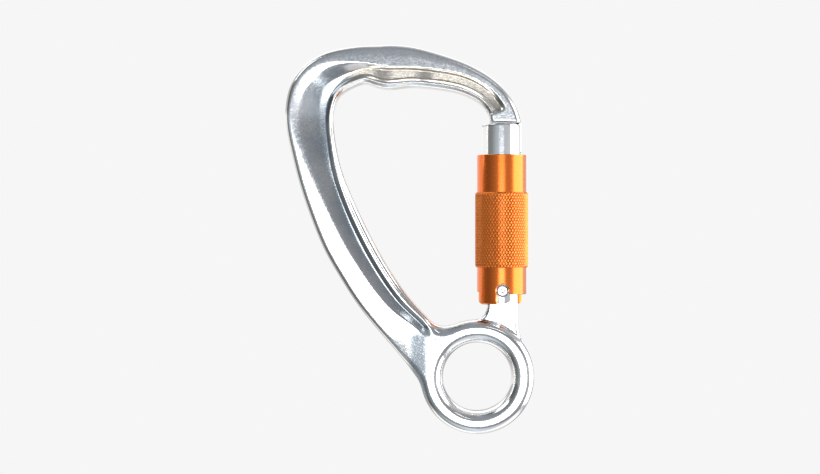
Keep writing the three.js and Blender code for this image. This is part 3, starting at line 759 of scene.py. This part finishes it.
class Nodes:
    """A node tree with short calls to build it."""

    def __init__(self, tree):
        self.tree = tree

    def feed(self, socket, value):
        """Links another node's socket to this one, or gives it a plain value."""
        if isinstance(value, bpy.types.NodeSocket):
            self.tree.links.new(value, socket)
        else:
            socket.default_value = value

    def add(self, kind, inputs=None, **settings):
        node = self.tree.nodes.new(kind)
        for key, value in settings.items():
            setattr(node, key, value)
        for key, value in (inputs or {}).items():
            self.feed(node.inputs[key], value)
        return node

    def remap(self, value, low, high, to_low, to_high):
        inputs = {"Value": value, "From Min": low, "From Max": high, "To Min": to_low, "To Max": to_high}
        return self.add("ShaderNodeMapRange", inputs).outputs["Result"]

    def mix(self, factor, a, b, **settings):
        """Two colours mixed; the sockets 0, 6, 7 and 2 are the node's factor, colours and result."""
        return self.add("ShaderNodeMix", {0: factor, 6: a, 7: b}, data_type="RGBA", **settings).outputs[2]

    def math(self, operation, *values):
        return self.add("ShaderNodeMath", dict(enumerate(values)), operation=operation).outputs["Value"]


class Surface(Nodes):
    """A new material's nodes."""

    def __init__(self, name):
        self.material = bpy.data.materials.new(name)
        self.material.use_nodes = True
        super().__init__(self.material.node_tree)
        self.shader = self.tree.nodes["Principled BSDF"]

    def place(self, scale=(1, 1, 1)):
        """The piece's own coordinates, in metres, stretched by scale."""
        coordinates = self.add("ShaderNodeTexCoord").outputs["Object"]
        return self.add("ShaderNodeMapping", {"Vector": coordinates, "Scale": scale}).outputs["Vector"]

    def noise(self, scale, detail, stretch=(1, 1, 1)):
        inputs = {"Vector": self.place(stretch), "Scale": scale, "Detail": detail}
        return self.add("ShaderNodeTexNoise", inputs).outputs["Fac"]

    def attribute(self, name):
        return self.add("ShaderNodeAttribute", attribute_name=name).outputs["Fac"]

    def bump(self, *layers):
        """Bump from (height, depth in millimetres) layers, one after the other."""
        normal = None
        for height, depth in layers:
            inputs = {"Height": height, "Distance": depth * MM, "Strength": 1.0}
            if normal is not None:
                inputs["Normal"] = normal
            normal = self.add("ShaderNodeBump", inputs).outputs["Normal"]
        self.set("Normal", normal)

    def set(self, key, value):
        self.feed(self.shader.inputs[key], value)


def tumbled_aluminium(name, grain, rough, hollows=False):
    """Forged and tumbled aluminium: bright, with a fine pebbled grain, faint clouding and small scratches;
    with hollows, also painted shade in the channel and the trough and a painted cream reflection in the
    pocket.
    """
    n = Surface(name)
    pebbles = n.noise(1900, 3)
    clouds = n.noise(95, 3)
    scratches = n.noise(900, 2, (0.08, 1, 1.3))
    n.set("Metallic", 1.0)
    colour = n.mix(n.remap(clouds, 0.35, 0.7, 0, 1), *BRIGHT)
    if hollows:
        # painted reflection: the arm's pocket floor is tinted cream
        colour = n.mix(n.attribute("pocket"), colour, POCKET_PAINTED_REFLECTION)
        # painted shade: the spine's channel and the trough's patch are mixed towards darker blue-grey; coarse
        # carries this painted shade together with the trough's coarse grain
        painted_shade_colour = n.mix(n.remap(clouds, 0.4, 0.65, 0, 1), *PAINTED_SHADE)
        coarse = n.math("MULTIPLY", n.attribute("trough"), n.remap(pebbles, 0.35, 0.55, 0.75, 1.15))
        colour = n.mix(n.math("MAXIMUM", n.attribute("channel"), coarse), colour, painted_shade_colour)
    shade = n.remap(pebbles, 0.35, 0.65, 0.90, 1.0)
    colour = n.add("ShaderNodeVectorMath", {0: colour, "Scale": shade}, operation="SCALE").outputs["Vector"]
    n.set("Base Color", colour)
    mottle = n.remap(pebbles, 0.35, 0.65, rough - 0.03, rough + 0.06)
    rough = n.math("ADD", mottle, n.remap(clouds, 0.4, 0.7, 0, 0.03))
    if hollows:
        rough = n.math("ADD", rough, n.math("MULTIPLY", coarse, 0.32))
        pebbles = n.math("MULTIPLY", pebbles, n.remap(coarse, 0, 1, 1, 6))
    n.set("Roughness", rough)
    n.bump((pebbles, grain), (scratches, grain * 0.25))
    return n.material


def orange_anodised():
    """Orange anodised aluminium: a dyed, slightly satin metal, paler where the edges are worn, and paler on
    the knurl's points also as a painted highlight.
    """
    n = Surface("orange_anodised")
    edge = n.attribute("edge")
    turning = n.noise(160, 3, (1, 1, 9))
    speckle = n.noise(2600, 2)
    dye = n.mix(n.remap(speckle, 0.35, 0.7, 0, 1), *ORANGE)
    # paler on worn edges, and a painted highlight on the knurl's points
    wear_and_sheen = n.math("MULTIPLY", edge, n.remap(turning, 0.4, 0.65, 0.4, 0.65))
    n.set("Base Color", n.mix(wear_and_sheen, dye, ORANGE_WEAR_AND_SHEEN))
    n.set("Metallic", 1.0)
    satin = n.math("MULTIPLY", n.attribute("knurl"), 0.09)
    n.set("Roughness", n.math("ADD", n.remap(speckle, 0.3, 0.7, 0.21, 0.28), satin))
    n.set("Coat Weight", 0.7)
    n.set("Coat Roughness", 0.16)
    n.bump((speckle, 0.006), (turning, 0.008))
    return n.material


def steel(name, colour, rough):
    """Drawn or turned steel with fine marks along and round it."""
    n = Surface(name)
    marks = n.noise(1400, 3, (1, 1, 4))
    stain = n.noise(260, 3)
    darker = tuple(0.7 * c for c in colour)
    n.set("Base Color", n.mix(n.remap(stain, 0.35, 0.7, 0, 1), (*darker, 1), (*colour, 1)))
    n.set("Metallic", 1.0)
    n.set("Roughness", n.remap(marks, 0.3, 0.7, rough - 0.06, rough + 0.1))
    n.bump((marks, 0.01))
    return n.material


def dress(made, material, body, slot_name, *nodes):
    """Gives a piece its material and body, and hides the CAD nodes that it stands for; its slot name is not
    used.
    """
    made.data.materials.clear()
    made.data.materials.append(material)
    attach(made, body)
    if nodes:
        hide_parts(*nodes)


# ---- Pieces ----------------------------------------------------------------------------------------------


def build_frame():
    made, points = implicit_object("frame_forging", frame_field, FORGING_BOX, CELL, eye)
    x, z = points[:, 0], points[:, 2]
    pocket, channel = hollows_painted_light(x, z)
    # the pocket mark carries a painted cream reflection, the channel mark painted shade
    mark(made, "pocket", pocket)
    mark(made, "channel", channel)
    # the trough's patch: painted shade and coarse grain
    mark(made, "trough", trough_shade_and_grain(x, z))
    material = tumbled_aluminium("forged_aluminium", 0.010, 0.105, hollows=True)
    dress(made, material, "body", "forged_aluminium", "frame_body")


def build_gate():
    made, _ = implicit_object("gate_tube", barrel_field, TUBE_BOX, FINE_CELL, hinge)
    dress(made, tumbled_aluminium("gate_aluminium", 0.006, 0.07), "gate", "gate_aluminium", "gate_barrel")


def build_sleeve():
    material = orange_anodised()
    shell, _ = implicit_object("sleeve_shell", sleeve_field, SHELL_BOX, FINE_CELL, hinge)
    dress(shell, material, "sleeve", "orange_anodised", "lock_sleeve")
    band, faces, height = knurl_band()
    knurl = mesh_object("sleeve_knurl", band, faces, hinge)
    # the diamonds' points are paler: partly wear, partly a painted highlight
    mark(knurl, "edge", KNURL_WEAR_AND_SHEEN * height**2)
    mark(knurl, "knurl", np.ones(len(height)))
    dress(knurl, material, "sleeve", "orange_anodised")


def rivet_profile():
    """The shank and a formed head with a small round recess, the same at both ends."""
    radius, seat, head_r, top, edge = RIVET.values()
    recess_r, recess_foot, recess_edge = RIVET_RECESS.values()
    half = [[radius, 0], [radius, seat], [head_r, seat], *arc(head_r - edge, top - edge, edge, 0, 90, 6)]
    half += [[recess_r, top]]
    half += arc(recess_r - recess_edge, recess_foot + recess_edge, recess_edge, 0, -90, 6)
    half += [[0, recess_foot]]
    return [[r, -y] for r, y in half[:0:-1]] + half


def build_rivet():
    made = turned("rivet", rivet_profile(), hinge, 72, "y")
    dress(made, steel("rivet_steel", RIVET_STEEL, 0.2), "body", "rivet_steel", "hinge_rivet")


def plunger_profile():
    """A rounded tip on a cone, the body, and the spigot on top of it."""
    radius, tip, tip_r, cone, top, edge = PLUNGER.values()
    spigot_r, spigot_top = SPIGOT.values()
    body = [[radius, tip + cone], [radius, top - edge], [radius - edge, top]]
    spigot = [[spigot_r, top], [spigot_r, spigot_top - edge], [spigot_r - edge, spigot_top], [0, spigot_top]]
    return [*arc(0, tip + tip_r, tip_r, 270, 345, 8), *body, *spigot]


def build_plunger(material):
    made = turned("plunger", plunger_profile(), hinge, 64)
    dress(made, material, "plunger", "spring_steel", "gate_plunger")


def compress(made):
    """Gives a spring its own copy of its mesh."""
    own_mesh(made)


def build_springs(material):
    gate_coil = coil("gate_coil", GATE_COIL, hinge)
    dress(gate_coil, material, "gate", "spring_steel", "gate_spring")
    compress(gate_coil)
    sleeve_coil = coil("sleeve_coil", SLEEVE_COIL, hinge)
    dress(sleeve_coil, material, "gate", "spring_steel", "sleeve_spring")
    compress(sleeve_coil)


def build_guide_pin(material):
    radius, foot, top, edge = PIN["radius"], PIN["from"], PIN["to"], PIN["edge"]
    profile = [[radius - edge, foot], [radius, foot + edge], [radius, top - edge], [radius - edge, top]]
    profile += [[0, top], [0, foot]]
    made = turned("guide_pin", profile, hinge + Vector((0, 0, PIN["z"])) * MM, 48, "y")
    dress(made, material, "gate", "spring_steel", "sleeve_guide_pin")


def build_seat_ring(material):
    made, _ = implicit_object("seat_ring", seat_ring_field, RING_BOX, RING_CELL, hinge)
    dress(made, material, "spring_seat", "spring_steel", "spring_seat_ring")


def build_insides():
    material = steel("spring_steel", SPRING_STEEL, 0.28)
    build_plunger(material)
    build_springs(material)
    build_guide_pin(material)
    build_seat_ring(material)


# ---- Stage -----------------------------------------------------------------------------------------------

BACKGROUND = 0.922  # the backdrop's brightness, linear
VIEW_HEIGHT = 0.0505  # camera and lights sit level, this far above the eye, in metres
VIEW_SIDE = -0.0243  # and this far to the spine's side of it
VIEW_DISTANCE = 0.64
LENS, SENSOR = 77.5, 36.0  # in millimetres

# The studio round the object, by the direction seen from it: degrees left (-) or right (+) of the camera
AROUND = [
    (-180, (0.90, 0.89, 0.87)),
    (-92, (0.98, 0.95, 0.90)),
    (-88, (0.22, 0.22, 0.21)),
    (-62, (0.22, 0.23, 0.23)),
    (-42, (0.37, 0.40, 0.41)),
    (-24, (0.49, 0.54, 0.57)),
    (0, (0.60, 0.64, 0.70)),
    (14, (0.51, 0.53, 0.56)),
    (47, (0.58, 0.58, 0.59)),
    (55, (0.93, 0.93, 0.92)),
    (112, (0.95, 0.95, 0.93)),
    (150, (0.66, 0.66, 0.65)),
    (180, (0.80, 0.79, 0.77)),
]
# and by its height: degrees above the horizon, as a factor
ABOVE = [
    (-90, 1.5),
    (-42, 1.3),
    (-35, 0.5),
    (-26, 0.55),
    (-13, 0.75),
    (0, 1.05),
    (3.7, 1.2),
    (4.8, 0.58),
    (9, 0.58),
    (34, 0.5),
    (70, 0.55),
    (90, 0.9),
]

# Three broad lights one above the other, far in front: name, lower and upper edge from the camera's height,
# brightness. All are in metres.
FRONT_AHEAD, FRONT_LEFT, FRONT_RIGHT = 1.7, -0.43, 0.36
FRONT_LIGHTS = [
    ("front_low", -0.36, 0.0, 3.8),
    ("front_middle", 0.0, 0.075, 3.0),
    ("front_high", 0.075, 0.12, 0.3),
]
# And the others: name, place from the focus (x and z) and the hinge (y), size, brightness, colour.
WHITE = (1, 1, 1)
OTHER_LIGHTS = [
    ("right_wall", (1.35, -0.15, 0), (1.55, 1.8), 2.4, (1.0, 0.99, 0.96)),
    ("overhead", (0.5, -1.1, 0.85), (0.5, 0.12), 2.0, WHITE),
    ("left_top", (-1.2, -0.5, 1.3), (0.9, 0.9), 1.6, WHITE),
    ("back_top", (0, 1.0, 0.9), (2.2, 1.1), 1.0, WHITE),
]
FLOOR_R = 0.84
FLOOR_BELOW = 0.2  # the camera's height
FLOOR_FADE = (0.55, 0.98)  # shares of its radius over which it fades out


def ramp_node(tree, stops, low, high):
    """A colour ramp whose stops are given in degrees between low and high."""
    node = tree.nodes.new("ShaderNodeValToRGB")
    elements = node.color_ramp.elements
    for i, (degrees, colour) in enumerate(stops):
        at = (degrees - low) / (high - low)
        element = elements[i] if i < 2 else elements.new(at)
        element.position = at
        element.color = (*colour, 1) if isinstance(colour, tuple) else (colour, colour, colour, 1)
    return node


def build_world():
    """The studio's light by direction; the camera itself sees the plain backdrop."""
    world = bpy.data.worlds.new("studio")
    bpy.context.scene.world = world
    world.use_nodes = True
    world.node_tree.nodes.clear()
    n = Nodes(world.node_tree)
    direction = n.add("ShaderNodeSeparateXYZ", {0: n.add("ShaderNodeTexCoord").outputs["Generated"]})
    behind = n.math("MULTIPLY", direction.outputs["Y"], -1)
    azimuth = n.math("ARCTAN2", direction.outputs["X"], behind)
    height = n.math("ARCSINE", direction.outputs["Z"])
    colours = []
    for angle, stops, limit in ((azimuth, AROUND, 180), (height, ABOVE, 90)):
        colour = ramp_node(n.tree, stops, -limit, limit)
        n.feed(colour.inputs["Fac"], n.remap(angle, -math.radians(limit), math.radians(limit), 0, 1))
        colours.append(colour.outputs["Color"])
    ambient = n.add("ShaderNodeBackground", {"Color": n.mix(1, *colours, blend_type="MULTIPLY")})
    seen = n.add("ShaderNodeBackground", {"Color": (BACKGROUND, BACKGROUND, BACKGROUND, 1)})
    camera_ray = n.add("ShaderNodeLightPath").outputs["Is Camera Ray"]
    choose = n.add("ShaderNodeMixShader", {0: camera_ray, 1: ambient.outputs[0], 2: seen.outputs[0]})
    n.add("ShaderNodeOutputWorld", {"Surface": choose.outputs[0]})


def softbox(name, centre, aim, size, radiance, colour=WHITE):
    """An area light of a given brightness, facing aim; it shows in reflections and not to the camera."""
    light = bpy.data.lights.new(name, "AREA")
    light.shape = "RECTANGLE"
    light.size, light.size_y = size
    light.energy = radiance * math.pi * size[0] * size[1]
    light.color = colour
    lamp = bpy.data.objects.new(name, light)
    lamp.location = centre
    lamp.rotation_euler = (Vector(aim) - Vector(centre)).to_track_quat("-Z", "Y").to_euler()
    lamp.visible_camera = False
    bpy.context.scene.collection.objects.link(lamp)


def build_lights():
    focus = eye + Vector((VIEW_SIDE, 0, VIEW_HEIGHT))
    for name, foot, top, radiance in FRONT_LIGHTS:
        x, z = focus.x + (FRONT_LEFT + FRONT_RIGHT) / 2, focus.z + (foot + top) / 2
        size = FRONT_RIGHT - FRONT_LEFT, top - foot
        softbox(name, (x, focus.y - FRONT_AHEAD, z), (x, 0, z), size, radiance)
    for name, (x, y, z), size, radiance, colour in OTHER_LIGHTS:
        softbox(name, (focus.x + x, y, focus.z + z), focus, size, radiance, colour)


def build_floor():
    """A pale disc under the object that fades out towards its rim; it shows in no reflection."""
    rings, sides = 24, 96
    centre = Vector((eye.x + VIEW_SIDE, 0, eye.z + VIEW_HEIGHT - FLOOR_BELOW))
    circles = [FLOOR_R * k / rings for k in range(rings + 1)]
    angle = np.linspace(0, 2 * math.pi, sides, endpoint=False)
    grid = np.array([[r * math.cos(a), r * math.sin(a), 0] for r in circles for a in angle]) / MM
    floor = mesh_object("floor", grid, lattice(rings + 1, sides)[:, [0, 3, 2, 1]], centre)
    floor.visible_glossy = False
    clean(floor)
    n = Surface("pale_floor")
    n.set("Base Color", (0.80, 0.80, 0.80, 1))
    n.set("Roughness", 0.9)
    length = n.add("ShaderNodeVectorMath", {0: n.place(), 1: centre}, operation="DISTANCE")
    n.set("Alpha", n.remap(length.outputs["Value"], FLOOR_R * FLOOR_FADE[0], FLOOR_R * FLOOR_FADE[1], 1, 0))
    floor.data.materials.append(n.material)


def build_camera():
    camera = bpy.data.cameras.new("camera")
    camera.sensor_width = SENSOR
    camera.lens = LENS
    camera.clip_start = 0.01
    made = bpy.data.objects.new("camera", camera)
    made.location = eye + Vector((VIEW_SIDE, -VIEW_DISTANCE, VIEW_HEIGHT))
    made.rotation_euler = (math.radians(90), 0, 0)
    bpy.context.scene.collection.objects.link(made)
    bpy.context.scene.camera = made


bpy.context.scene.view_settings.view_transform = "Standard"
build_camera()
build_world()
build_lights()
build_floor()
build_frame()
build_gate()
build_sleeve()
build_rivet()
build_insides()
